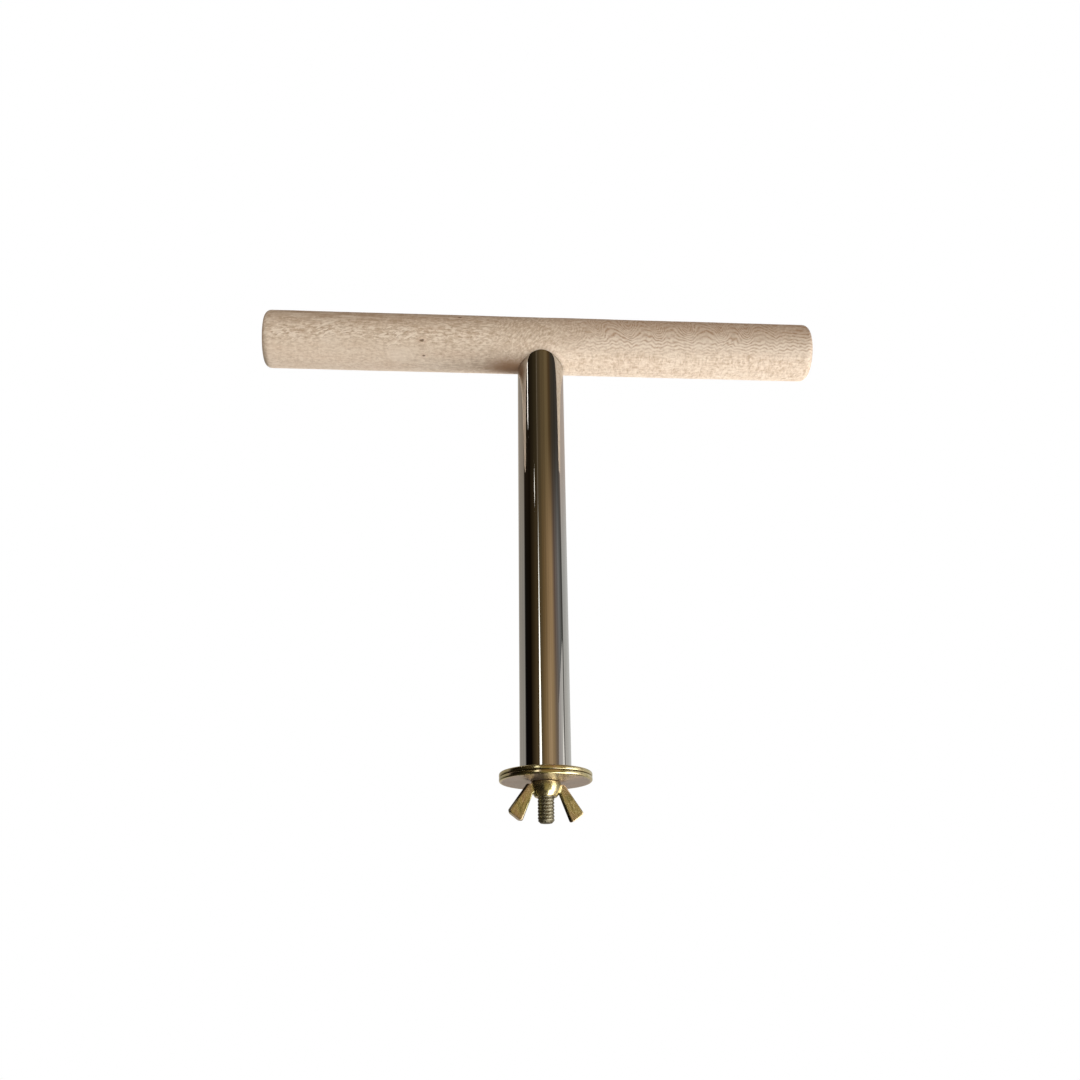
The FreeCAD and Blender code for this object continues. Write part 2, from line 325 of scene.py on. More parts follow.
class Wire:
    """An output of a node, on which Python's arithmetic adds Math nodes."""

    def __init__(self, socket):
        self.socket = socket
        self.tree = socket.id_data

    __add__ = __radd__ = maths("ADD")
    __sub__ = maths("SUBTRACT")
    __rsub__ = maths("SUBTRACT", swapped=True)
    __mul__ = __rmul__ = maths("MULTIPLY")
    __truediv__ = maths("DIVIDE")
    __pow__ = maths("POWER")
    sine = maths("SINE")
    cosine = maths("COSINE")
    arc_tangent = maths("ARCTAN2")
    size = maths("ABSOLUTE")
    fraction = maths("FRACT")
    above = maths("GREATER_THAN")
    at_least = maths("MAXIMUM")
    at_most = maths("MINIMUM")

    def step(self, low, high):
        """0 below `low`, 1 above `high` and smooth between; the other way round if low is the larger."""
        sockets = {"Value": self, "From Min": low, "From Max": high}
        return add(self.tree, "ShaderNodeMapRange", sockets, {"interpolation_type": "SMOOTHSTEP"})


def blend(factor, first, second):
    """A colour between two, by a factor from 0 to 1."""
    tree = next(part.tree for part in (factor, first, second) if isinstance(part, Wire))
    sockets = {"Factor": factor}
    for key, tone in (("A", first), ("B", second)):
        sockets[key] = tone if isinstance(tone, Wire) else (*tone, 1.0)
    return add(tree, "ShaderNodeMix", sockets, {"data_type": "RGBA"})


def layered(tone, layers):
    """A colour with (factor, colour) layers laid over it in turn."""
    for factor, layer in layers:
        tone = blend(factor, tone, layer)
    return tone


def scaled(tone, factor):
    """A colour made darker or lighter."""
    return tuple(part * factor for part in tone)


def ramp(factor, stops):
    """The colour at this place among (position, colour) stops."""
    made = factor.tree.nodes.new("ShaderNodeValToRGB")
    elements = made.color_ramp.elements
    while len(elements) < len(stops):
        elements.new(1.0)
    for element, (position, tone) in zip(elements, stops):
        element.position = position
        element.color = (*tone, 1.0)
    factor.tree.links.new(factor.socket, made.inputs["Fac"])
    return Wire(made.outputs["Color"])


def vector_maths(operation, first, second):
    """A Vector Math node on a wire and another vector."""
    return add(first.tree, "ShaderNodeVectorMath", {0: first, 1: second}, {"operation": operation})


def parts_of(vector):
    """The three numbers of a vector."""
    return [add(vector.tree, "ShaderNodeSeparateXYZ", {"Vector": vector}, output=name) for name in "XYZ"]


def from_axis(x, y):
    """Distance from the Z axis."""
    return (x * x + y * y) ** 0.5


def object_place(tree):
    """Object coordinates in metres."""
    return add(tree, "ShaderNodeTexCoord", output="Object")


def millimetres(tree, centre=(0.0, 0.0, 0.0), turn=0.0):
    """Object coordinates in millimetres from a centre given in metres, turned about Z."""
    shifted = vector_maths("SUBTRACT", object_place(tree), centre)
    sockets = {"Vector": shifted, "Scale": (1 / MM,) * 3, "Rotation": (0.0, 0.0, -turn)}
    return add(tree, "ShaderNodeMapping", sockets)


def slanted(place, lean):
    """The same coordinates, turned so that their X axis climbs by this many degrees."""
    sockets = {"Vector": place, "Rotation": (0.0, radians(lean), 0.0)}
    return add(place.tree, "ShaderNodeMapping", sockets)


def cloud(place, waves, detail=2.0, roughness=0.5, distortion=0.0):
    """Soft noise from 0 to 1 whose waves have these lengths in millimetres along X, Y and Z."""
    scale = tuple(1.0 / wave for wave in waves)
    stretched = add(place.tree, "ShaderNodeMapping", {"Vector": place, "Scale": scale})
    sockets = {"Vector": stretched, "Scale": 1.0, "Detail": detail}
    sockets.update({"Roughness": roughness, "Distortion": distortion})
    return add(place.tree, "ShaderNodeTexNoise", sockets)


def start_material(name, metallic, centre=(0.0, 0.0, 0.0), turn=0.0):
    """A new material, its shader and its coordinates in millimetres."""
    material = bpy.data.materials.new(name)
    material.use_nodes = True
    tree = material.node_tree
    shader = next(node for node in tree.nodes if node.type == "BSDF_PRINCIPLED")
    shader.inputs["Metallic"].default_value = metallic
    return material, shader, millimetres(tree, centre, turn)


def finish_material(shader, tone, roughness, height, depth):
    """Feeds colour, roughness and a bump of this depth, in metres, to the shader."""
    bump = add(tone.tree, "ShaderNodeBump", {"Strength": 1.0, "Distance": depth, "Height": height})
    for socket, wire in (("Base Color", tone), ("Roughness", roughness), ("Normal", bump)):
        tone.tree.links.new(wire.socket, shader.inputs[socket])


def distance_on_dowel(place, perch, along, rise, stretch):
    """Millimetres from a point of the dowel's surface, with those along the dowel counted shorter.

    The point is given by its place along the dowel and its angle above the dowel's front line.
    """
    radius = perch.diameter / 2 / MM
    turn = radians(rise)
    away = vector_maths("SUBTRACT", place, (along, -radius * cos(turn), radius * sin(turn)))
    squeezed = vector_maths("MULTIPLY", away, (1 / stretch, 1.0, 1.0))
    return add(place.tree, "ShaderNodeVectorMath", {0: squeezed}, {"operation": "LENGTH"}, "Value")


# Materials of the pieces


def pale_wood(perch):
    """Sanded pale wood with scalloped rings, curly ripple, flecks, pin knots and end grain."""
    material, shader, place = start_material("pale_wood", 0.0, (0.0, 0.0, dowel_axis))
    x, y, z = parts_of(place)

    # Growth rings, whose plane turns along the dowel and whose crowns are scalloped
    twist = x.step(-75.0, 35.0)
    ring_rise = twist * radians(134.0) - radians(78.0)
    across = z * ring_rise.sine() - y * ring_rise.cosine()
    crown = across.step(3.0, 10.0)
    drift = cloud(place, (21.0, 14.0, 14.0), 1.0) - 0.5
    scallop_size = 0.25 + twist * x.step(112.0, 88.0) * (crown * 2.5 + 0.25)
    bays = x * (tau / 13.0) + drift * 6.0
    scallop = (bays + bays.sine() * 0.5).cosine() * scallop_size
    sway = (cloud(place, (8.0, 5.0, 5.0), 1.0) - 0.5) * 1.3
    ripple = (cloud(place, (2.0, 1.4, 1.4), 2.0) - 0.5) * 0.7
    wavelets = (x * (tau / 3.8) + drift * 25.0).sine() * (0.30 - crown * 0.18)
    wave = (across + scallop + sway + ripple + wavelets) * (tau / (perch.ring_spacing / MM))
    lines = wave.sine() * 0.5 + 0.5
    ring_zone = across.step(-3.0, 2.5) * x.step(-6.0, 34.0)
    broken = cloud(place, (5.0, 2.0, 2.0), 2.0).step(0.28, 0.58)
    rings = lines ** 1.4 * ring_zone * (broken * 0.65 + 0.35)

    # Zones of the surface; the upper zone also carries painted shade on the dowel's top
    upper = z.step(-4.0, 9.0)
    low_right = twist * across.step(3.3, -5.2)
    by_post = x.step(-26.0, -12.0) * x.step(16.0, 4.0)
    calm = (1.0 - twist) * z.step(-3.0, -9.0)
    combed = upper * (1.0 - twist)
    plain = (1.0 - ring_zone * 0.8) * (1.0 - calm * 0.6)
    plain = plain * (1.0 - combed * 0.9) * (1.0 - by_post * 0.25)

    # Short strokes, curls, flecks and soft patches
    level = cloud(place, (2.5, 0.8, 0.8), 2.0, 0.55, 0.5)
    rising = cloud(slanted(place, 50.0), (1.8, 0.8, 0.8), 2.0, 0.55, 0.5)
    strokes = level + (rising - level) * by_post
    curl = cloud(place, (1.2, 2.6, 2.6), 1.0, 0.5, 0.8)
    flecks = cloud(place, (1.3, 1.0, 1.0), 2.0, 0.6)
    hairlines = cloud(place, (10.0, 1.0, 1.0), 1.0)
    patches = cloud(place, (24.0, 10.0, 10.0), 2.0)
    blush = cloud(place, (38.0, 8.0, 8.0), 2.0).step(0.42, 0.72)

    # Pale tracks with painted shade on their upper side, in three patches: along, rise, radius
    clusters = 0.0 * x
    for along, rise, radius in ((-111.0, -20.0, 6.0), (-91.0, -12.0, 7.5), (-63.0, -18.0, 7.0)):
        away = distance_on_dowel(place, perch, along, rise, 1.6)
        clusters = clusters.at_least(away.step(radius, radius * 0.5))
    clusters = clusters * cloud(place, (7.0, 4.0, 4.0), 1.0).step(0.36, 0.52)
    raised = vector_maths("ADD", place, (0.2, 0.0, 0.55))
    tracks, painted_track_shade = [
        cloud(slanted(start, 28.0), (5.0, 1.05, 1.05), 1.0, 0.5, 0.9) for start in (place, raised)
    ]

    pale, late, brown = perch.pale_patch, perch.late_wood, perch.ring_brown
    # Painted contact shade round the post's socket on the lower side, laid on in the knot's colour
    shade = from_axis(x, y).step(tube_high.x / MM + 1.6, tube_high.x / MM) * z.step(2.0, -2.0)
    layers = [
        # Painted shade: the upper side is pulled toward the blush tone, on top of random blush patches
        (blush * 0.4 + upper * 0.5, perch.blush),
        (patches.step(0.50, 0.75) * 0.3 + low_right * 0.02, pale),
        (ring_zone * (0.95 - crown * 0.45) + calm * 0.2, pale),
        # Painted shade: the top of the dowel is darkened toward late wood
        (z.step(-1.0, 10.0) * (0.74 - twist * 0.32), late),
        (crown * ring_zone * 0.15, brown),
        (rings * (0.7 + crown * 0.15), brown),
        (hairlines.step(0.50, 0.36) * combed * 0.6, late),
        (hairlines.step(0.52, 0.64) * combed * 0.6, pale),
        (strokes.step(0.47, 0.36) * plain * (0.52 - low_right * 0.30), late),
        (strokes.step(0.50, 0.60) * plain * (0.95 - low_right * 0.50), pale),
        (curl.step(0.46, 0.34) * (low_right * 0.32 + 0.08), late),
        (curl.step(0.52, 0.64) * (low_right * 0.25 + 0.15), pale),
        (flecks.step(0.54, 0.70) * (0.45 - combed * 0.3), pale),
        (flecks.step(0.46, 0.28) * (0.30 - combed * 0.2), late),
        (painted_track_shade.step(0.54, 0.64) * clusters * 0.35, late),
        (tracks.step(0.55, 0.61) * clusters * 0.95, pale),
        # Painted contact shade round the socket
        (shade * 0.25, perch.knot),
    ]

    # Pin knots and pale spots: along, rise, radius
    pin_knots = (
        (-52.1, -26.0, 0.75),
        (-51.2, -57.0, 0.55),
        (-36.0, 34.0, 0.7),
        (88.0, -130.0, 0.9),
        (20.0, 150.0, 0.7),
    )
    for along, rise, radius in pin_knots:
        wobble = distance_on_dowel(place, perch, along, rise, 1.7) + (flecks - 0.5) * 0.9
        layers.append((wobble.step(radius * 2.6, radius) * 0.35, perch.blush))
        layers.append((wobble.step(radius, radius * 0.4) * 0.85, perch.knot))
    for along, rise, radius in ((-61.6, -57.0, 5.0), (42.1, -80.0, 1.6), (-92.0, -30.0, 4.0)):
        away = distance_on_dowel(place, perch, along, rise, 1.6)
        layers.append((away.step(radius, radius * 0.3) * 0.4, pale))

    # Painted shadow of the post on the wood beside it, and the end grain
    painted_post_shadow = distance_on_dowel(place, perch, -13.0, -85.0, 1.7) + (patches - 0.5) * 4.0
    layers.append((painted_post_shadow.step(9.0, 1.5) * 0.9, brown))
    half = perch.length / 2 / MM
    rounding = perch.end_rounding / MM
    at_end = x.size().step(half - rounding * 0.5, half - rounding * 0.1)
    pores = cloud(place, (0.5, 0.5, 0.5), 2.0).step(0.55, 0.35)
    layers.append((at_end * 0.4, blend(lines * 0.6 + pores * 0.4, perch.end_grain, late)))

    roughness = 0.52 + flecks * 0.16 + rings * 0.06
    height = flecks * 0.4 + strokes * 0.5 + hairlines * 0.2 - rings * 0.4
    finish_material(shader, layered(perch.early_wood, layers), roughness, height, 0.05 * MM)
    shader.inputs["Specular IOR Level"].default_value = 0.3
    return material


def polished_steel(post):
    """Mirror-polished steel with faint drawn lines and soft handling marks."""
    material, shader, place = start_material("polished_steel", 1.0)
    drawn = cloud(place, (0.35, 0.35, 90.0), 2.0)
    handled = cloud(place, (9.0, 9.0, 22.0), 3.0).step(0.56, 0.80)
    prints = cloud(place, (1.1, 1.1, 2.4), 2.0)
    roughness = post.polish + handled * prints * post.wear + drawn * 0.02
    tone = blend(handled * 0.5 + drawn * 0.3, post.steel, scaled(post.steel, 0.93))
    waviness = cloud(place, (14.0, 14.0, 60.0), 1.0)
    finish_material(shader, tone, roughness, waviness + drawn * 0.002, 0.02 * MM)
    return material


def thread_depth(rod):
    """Depth of the rod's thread, from its crest and root shares and the slope of its flanks."""
    return rod.pitch * (1 - rod.crest_share - rod.root_share) / (2 * tan(rod.flank_angle))


def dull_plating(rod):
    """Dull plated steel, darker in the thread's root and brighter on its crests: painted shade and painted
    highlights of the thread.
    """
    material, shader, place = start_material("dull_plating", 1.0)
    x, y, z = parts_of(place)
    radius = from_axis(x, y)
    crest = rod.thread_diameter / 2 / MM
    root = crest - thread_depth(rod) / MM
    middle = (crest + root) / 2
    grains = cloud(place, (0.5, 0.5, 0.5), 3.0)
    stains = cloud(place, (2.5, 2.5, 4.0), 2.0)
    # Painted shade in the thread's root and painted highlights on its crests, with a few stains
    layers = (
        (radius.step(root, middle), rod.plating),
        (radius.step(middle, crest) * 0.6, scaled(rod.plating, 1.35)),
        (stains.step(0.5, 0.75) * 0.35, rod.dark_plating),
    )
    roughness = 0.36 + grains * 0.12 + radius.step(crest, root) * 0.10
    finish_material(shader, layered(rod.dark_plating, layers), roughness, grains, 0.012 * MM)
    return material


def zinc_film(place, clamp):
    """Yellow passivated zinc: gold that drifts to olive and rose in soft clouds."""
    drift = cloud(place, (4.5, 4.5, 4.0), 2.0, 0.5, 0.6)
    spots = cloud(place, (1.6, 1.6, 1.6), 2.0)
    layers = (
        (drift.step(0.48, 0.30), clamp.olive),
        (drift.step(0.54, 0.72) * 0.8, clamp.rose),
        (spots.step(0.55, 0.75) * 0.35, clamp.olive),
    )
    return layered(clamp.gold, layers)


def washer_zinc(clamp):
    """Passivated zinc of a washer: greyish flat faces, golden rim, faint turned scuffs."""
    material, shader, place = start_material("washer_zinc", 1.0)
    x, y, z = parts_of(place)
    outer = clamp.washer_diameter / 2 / MM
    rim = from_axis(x, y).step(outer - 1.3, outer - 0.35)
    clouds = cloud(place, (5.0, 5.0, 5.0), 3.0)
    layers = (
        (clouds.step(0.40, 0.75) * 0.45, clamp.rose),
        (clouds.step(0.45, 0.25) * 0.45, clamp.olive),
        (rim, zinc_film(place, clamp)),
    )
    grains = cloud(place, (0.35, 0.35, 0.35), 3.0)
    scuffs = cloud(place, (0.25, 6.0, 0.5), 2.0).step(0.62, 0.75)
    roughness = 0.30 + grains * 0.08 + clouds * 0.06 + scuffs * 0.08 - rim * 0.18
    finish_material(shader, layered(clamp.mauve, layers), roughness, grains + scuffs * 0.5, 0.002 * MM)
    return material


def nut_zinc(clamp):
    """Passivated zinc of the wing nut: brushed along the wings, rosy at their ends, with a painted dark
    reflection on their narrow sides.
    """
    material, shader, place = start_material("nut_zinc", 1.0, (0.0, 0.0, nut_seat), clamp.rest_turn)
    x, y, z = parts_of(place)
    lean = radians(28.0)
    along = z * cos(lean) - x.size() * sin(lean)
    across = x.size() * cos(lean) + z * sin(lean)
    grid = add(place.tree, "ShaderNodeCombineXYZ", {"X": across, "Y": y, "Z": along})
    brushed = cloud(grid, (0.38, 0.8, 9.0), 3.0)
    grains = cloud(place, (0.3, 0.3, 0.3), 3.0)
    on_wing = x.size().step(5.6, 7.0)
    rosy_ends = (z.step(-11.0, -14.0) + z.step(-6.5, -3.0)) * on_wing

    # Millimetres along a wing at which it starts and ends
    wing_start, wing_end = -5.5, -17.2
    shrink = (along - wing_start) / (wing_end - wing_start) - 0.5
    half = (1.0 - shrink * clamp.wing_taper) * (clamp.wing_thickness / 2 / MM)
    off_tip = along.step(wing_end - 0.2, wing_end + 0.6)
    # Painted reflection: the wings' narrow sides are painted near-black, as if mirroring dark surroundings
    painted_dark_sides = (y.size() - half).step(-0.25, -0.5) * on_wing * off_tip
    layers = (
        (brushed.step(0.52, 0.34) * 0.6, scaled(clamp.olive, 0.5)),
        (rosy_ends * 0.55, clamp.rose),
        (painted_dark_sides * 0.9, scaled(clamp.olive, 0.22)),
    )
    roughness = 0.14 + brushed * 0.14 + grains * 0.06
    height = brushed * 0.85 + grains * 0.15
    finish_material(shader, layered(zinc_film(place, clamp), layers), roughness, height, 0.005 * MM)
    return material


def fitting_metal(name, tone, dark, roughness):
    """Metal of a fitting inside the stand: turned lines and a little tarnish."""
    material, shader, place = start_material(name, 1.0)
    turned = cloud(place, (6.0, 6.0, 0.12), 2.0)
    tarnish = cloud(place, (4.0, 4.0, 4.0), 3.0).step(0.45, 0.75)
    mixed = blend(tarnish * 0.5 + turned * 0.2, tone, dark)
    finish_material(shader, mixed, roughness + turned * 0.15, turned, 0.01 * MM)
    return material


# Meshes of the pieces


def new_object(name, data):
    """An object at the origin that shows this mesh, lamp or camera."""
    made = bpy.data.objects.new(name, data)
    bpy.context.scene.collection.objects.link(made)
    return made


def drop(made):
    """Removes an object that has done its work, with its mesh."""
    mesh = made.data
    bpy.data.objects.remove(made)
    bpy.data.meshes.remove(mesh)


def mesh_of(name, shape):
    """A mesh of a worked shape, which is freed."""
    mesh = bpy.data.meshes.new(name)
    shape.to_mesh(mesh)
    shape.free()
    return mesh


def turned_mesh(name, outline, steps):
    """A mesh turned about Z from (radius, height) corners; a corner on the axis becomes a pole."""
    shape = bmesh.new()
    rows = []
    for radius, height in outline:
        turns = [tau * step / steps for step in range(steps)] if radius > 1e-9 else [0.0]
        places = [(radius * cos(turn), radius * sin(turn), height) for turn in turns]
        rows.append([shape.verts.new(place) for place in places])
    pairs = list(zip(rows, rows[1:]))
    if len(rows[0]) > 1 and len(rows[-1]) > 1:
        pairs.append((rows[-1], rows[0]))
    for first, second in pairs:
        for step in range(steps):
            after = (step + 1) % steps
            corners = [first[step % len(first)], first[after % len(first)]]
            corners += [second[after % len(second)], second[step % len(second)]]
            unique = list(dict.fromkeys(corners))
            if len(unique) > 2:
                shape.faces.new(unique)
    bmesh.ops.recalc_face_normals(shape, faces=shape.faces)
    return mesh_of(name, shape)


def arc(centre_radius, centre_height, radius, start, end, steps):
    """Corners along an arc of an outline; angles in degrees, 0 outwards and 90 up."""
    corners = []
    for step in range(steps + 1):
        turn = radians(start + (end - start) * step / steps)
        corner = (centre_radius + radius * cos(turn), centre_height + radius * sin(turn))
        corners.append(corner)
    return corners


def evaluated_copy(made, name):
    """A plain mesh of an object with its modifiers worked out."""
    bpy.context.view_layer.update()
    graph = bpy.context.evaluated_depsgraph_get()
    mesh = bpy.data.meshes.new_from_object(made.evaluated_get(graph))
    mesh.name = name
    return mesh


def remove_slivers(mesh):
    """Closes up triangles without area, and takes out pairs of triangles that lie on each other."""
    shape = bmesh.new()
    shape.from_mesh(mesh)
    bmesh.ops.triangulate(shape, faces=shape.faces)
    bmesh.ops.remove_doubles(shape, verts=shape.verts, dist=WELD)
    bmesh.ops.dissolve_degenerate(shape, edges=shape.edges, dist=WELD)
    bmesh.ops.triangulate(shape, faces=shape.faces)
    sharing = {}
    for face in shape.faces:
        sharing.setdefault(frozenset(face.verts), []).append(face)
    doubled = [face for faces in sharing.values() if len(faces) > 1 for face in faces]
    bmesh.ops.delete(shape, geom=doubled, context="FACES")
    shape.to_mesh(mesh)
    shape.free()


def combined(name, mesh, operation, other):
    """A plain mesh from two closed ones: their union, or the first less the second."""
    body = new_object(name, mesh)
    tool = new_object(name + "_tool", other)
    cut = body.modifiers.new("combine", "BOOLEAN")
    cut.operation = operation
    cut.solver = "MANIFOLD"
    cut.object = tool
    result = evaluated_copy(body, name)
    drop(body)
    drop(tool)
    if not result.polygons:
        raise RuntimeError(f"{name}: the two shapes did not combine")
    remove_slivers(result)
    return result


def show(name, mesh, crease, material, body, node):
    """Shows a finished mesh, creased above an angle in degrees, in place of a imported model's node."""
    mesh.shade_smooth()
    mesh.set_sharp_from_angle(angle=radians(crease))
    mesh.materials.clear()
    mesh.materials.append(material)
    made = new_object(name, mesh)
    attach(made, body)
    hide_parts(node)


def thread_tree():
    """Geometry nodes that bend a grid into a closed screw thread about Z."""
    tree = bpy.data.node_groups.new("screw_thread", "GeometryNodeTree")
    sizes = (
        "Bottom", "Length", "Pitch", "Start", "Crest Radius", "Root Radius", "Crest Width",
        "Flank Slope", "Bottom Radius", "Top Radius",
    )
    inputs = [(name, "Float") for name in sizes]
    inputs += [("Around", "Int"), ("Rows", "Int"), ("Material", "Material")]
    for name, kind in inputs:
        tree.interface.new_socket(name, in_out="INPUT", socket_type="NodeSocket" + kind)
    tree.interface.new_socket("Geometry", in_out="OUTPUT", socket_type="NodeSocketGeometry")
    entry = tree.nodes.new("NodeGroupInput")
    given = {socket.name: Wire(socket) for socket in entry.outputs if socket.name}

    sockets = {"Size X": 1.0, "Size Y": 1.0}
    sockets.update({"Vertices X": given["Around"] + 1, "Vertices Y": given["Rows"] + 1})
    grid = add(tree, "GeometryNodeMeshGrid", sockets)
    across, along, flat = parts_of(add(tree, "GeometryNodeInputPosition"))
    turn = across + 0.5
    row = (along + 0.5) * given["Rows"]
    climb = ((row - 1.0) / (given["Rows"] - 2.0)).at_least(0.0).at_most(1.0)
    height = given["Bottom"] + climb * given["Length"]
    top = given["Bottom"] + given["Length"]

    phase = (height - given["Start"]) / given["Pitch"] - turn
    off_crest = ((phase + 0.5).fraction() - 0.5).size() * given["Pitch"] - given["Crest Width"] / 2
    cut = (off_crest / given["Flank Slope"]).at_least(0.0)
    radius = (given["Crest Radius"] - cut).at_least(given["Root Radius"])
    radius = radius.at_most(given["Bottom Radius"] + height - given["Bottom"])
    radius = radius.at_most(given["Top Radius"] + top - height)
    radius = radius * row.above(0.5) * (1.0 - row.above(given["Rows"] - 0.5))
    circle = turn * tau
    sockets = {"X": radius * circle.cosine(), "Y": radius * circle.sine(), "Z": height}
    place = add(tree, "ShaderNodeCombineXYZ", sockets)

    bent = add(tree, "GeometryNodeSetPosition", {"Geometry": grid, "Position": place})
    welded = add(tree, "GeometryNodeMergeByDistance", {"Geometry": bent, "Distance": 1e-7})
    real = add(tree, "GeometryNodeRealizeInstances", {"Geometry": welded})
    dressed = add(tree, "GeometryNodeSetMaterial", {"Geometry": real, "Material": given["Material"]})
    tree.links.new(dressed.socket, tree.nodes.new("NodeGroupOutput").inputs[0])
    return tree


def thread_mesh(name, rod, material, bottom, length, growth, bottom_radius, top_radius):
    """A closed screw thread in step with the rod's, its flanks and crest grown by `growth`."""
    tree = bpy.data.node_groups.get("screw_thread") or thread_tree()
    slope = tan(rod.flank_angle)
    crest_radius = rod.thread_diameter / 2 + growth
    values = {
        "Bottom": bottom,
        "Length": length,
        "Pitch": rod.pitch,
        "Start": rod_low.z,
        "Crest Radius": crest_radius,
        "Root Radius": crest_radius - thread_depth(rod),
        "Crest Width": rod.pitch * rod.crest_share + 2 * growth * (1 - slope),
        "Flank Slope": slope,
        "Bottom Radius": bottom_radius,
        "Top Radius": top_radius,
        "Around": rod.around,
        "Rows": round(length / rod.pitch * rod.per_turn) + 2,
        "Material": material,
    }
    carrier = new_object(name, bpy.data.meshes.new(name))
    modifier = carrier.modifiers.new("thread", "NODES")
    modifier.node_group = tree
    for item in tree.interface.items_tree:
        if item.in_out == "INPUT":
            modifier[item.identifier] = values[item.name]
    mesh = evaluated_copy(carrier, name)
    carrier.modifiers.remove(modifier)
    drop(carrier)
    return mesh


# Operators that build the pieces


class TSTAND_OT_perch(bpy.types.Operator):
    """Build the wooden perch with its socket for the post"""

    bl_idname = "tstand.perch"
    bl_label = "Perch"

    def execute(self, context):
        perch = context.scene.tstand_perch
        radius = perch.diameter / 2
        half = perch.length / 2
        rounding = perch.end_rounding
        face = radius - rounding
        straight = perch.length - 2 * rounding
        rings = 200
        outline = [(0.0, -half), (face * 0.5, -half)]
        outline += arc(face, rounding - half, rounding, -90.0, 0.0, 10)
        for ring in range(1, rings):
            outline.append((radius, rounding - half + straight * ring / rings))
        outline += arc(face, half - rounding, rounding, 0.0, 90.0, 10)
        outline += [(face * 0.5, half), (0.0, half)]
        mesh = turned_mesh("perch", outline, 144)
        for vertex in mesh.vertices:
            away = Vector((vertex.co.x, vertex.co.y, 0.0))
            place = vertex.co / MM
            stray = noise.noise(Vector((place.x / 9, place.y / 9, place.z / 30)))
            stray += 0.35 * noise.noise(place / 5)
            vertex.co += away / radius * (stray - 0.6) * perch.unevenness
        lie = Matrix.Rotation(pi / 2, 4, "Y")
        mesh.transform(Matrix.Translation((0.0, 0.0, dowel_axis)) @ lie)

        socket_radius = context.scene.tstand_post.diameter / 2 + perch.socket_gap
        bore_radius = (insert_high.x - insert_low.x) / 2
        below = dowel_axis - perch.diameter
        bore_top = insert_high.z + perch.insert_room
        socket = [
            (0.0, below),
            (socket_radius, below),
            (socket_radius, tube_high.z),
            (bore_radius, tube_high.z),
            (bore_radius, bore_top),
            (0.0, bore_top),
        ]
        mesh = combined("perch", mesh, "DIFFERENCE", turned_mesh("socket", socket, 128))
        show("perch", mesh, 40.0, pale_wood(perch), "stand", "perch_dowel")
        return {"FINISHED"}


class TSTAND_OT_post(bpy.types.Operator):
    """Build the polished post"""

    bl_idname = "tstand.post"
    bl_label = "Post"

    def execute(self, context):
        post = context.scene.tstand_post
        radius = post.diameter / 2
        bore = radius - post.wall
        edge = post.edge_break
        outline = [(bore, tube_low.z), (radius - edge, tube_low.z)]
        outline += arc(radius - edge, tube_low.z + edge, edge, -90.0, 0.0, 6)[1:]
        straight = tube_low.z + 2 * edge
        rows = 24
        for row in range(rows + 1):
            outline.append((radius, straight + (tube_high.z - straight) * row / rows))
        outline.append((bore, tube_high.z))
        mesh = turned_mesh("post", outline, 256)
        show("post", mesh, 50.0, polished_steel(post), "stand", "post_tube")
        return {"FINISHED"}


class TSTAND_OT_rod(bpy.types.Operator):
    """Build the tie rod with its threaded stud"""

    bl_idname = "tstand.rod"
    bl_label = "Tie rod"

    def execute(self, context):
        rod = context.scene.tstand_rod
        crest = rod.thread_diameter / 2
        shank = rod.shank_diameter / 2
        grip_low = insert_low.z - (insert_high.z - insert_low.z)
        material = dull_plating(rod)
        ends = (crest - rod.chamfer, shank * 0.8)
        thread = thread_mesh("rod", rod, material, rod_low.z, rod.thread_length, 0.0, *ends)
        shank_low = rod_low.z + rod.thread_length - 2 * rod.pitch
        upper = [
            (0.0, shank_low),
            (shank * 0.7, shank_low),
            (shank, shank_low + 2 * rod.pitch),
            (shank, grip_low),
            (crest, grip_low),
            (crest, rod_high.z - rod.chamfer),
            (crest - rod.chamfer, rod_high.z),
            (0.0, rod_high.z),
        ]
        mesh = combined("rod", thread, "UNION", turned_mesh("shank", upper, rod.around))
        show("rod", mesh, 50.0, material, "stand", "tie_rod")
        return {"FINISHED"}


class TSTAND_OT_washers(bpy.types.Operator):
    """Build the two clamp washers"""

    bl_idname = "tstand.washers"
    bl_label = "Washers"

    def execute(self, context):
        clamp = context.scene.tstand_clamp
        bevel, cut, rolled = clamp.hole_bevel, clamp.cut_edge, clamp.rolled_edge
        hole = clamp.washer_hole / 2
        outer = clamp.washer_diameter / 2
        inner = hole + bevel
        rows = 12
        washers = (
            ("washer_upper", "stand", "upper_washer", upper_low.z, upper_high.z, 1),
            ("washer_lower", "lower_washer", "lower_washer", lower_high.z, lower_low.z, -1),
        )
        for name, body, node, mating, outside, up in washers:
            outline = [(hole, mating + up * bevel), (inner, mating)]
            for row in range(1, rows + 1):
                part = row / rows
                dished = mating + up * clamp.dish * part ** 2
                outline.append((inner + (outer - cut - inner) * part, dished))
            outline += arc(outer - cut, mating + up * (clamp.dish + cut), cut, -90.0 * up, 0.0, 6)[1:]
            outline += arc(outer - rolled, outside - up * rolled, rolled, 0.0, 90.0 * up, 10)
            for row in range(1, rows + 1):
                outline.append((outer - rolled + (inner - outer + rolled) * row / rows, outside))
            outline.append((hole, outside - up * bevel))
            mesh = turned_mesh(name, outline, 192)
            show(name, mesh, 50.0, washer_zinc(clamp), body, node)
        return {"FINISHED"}


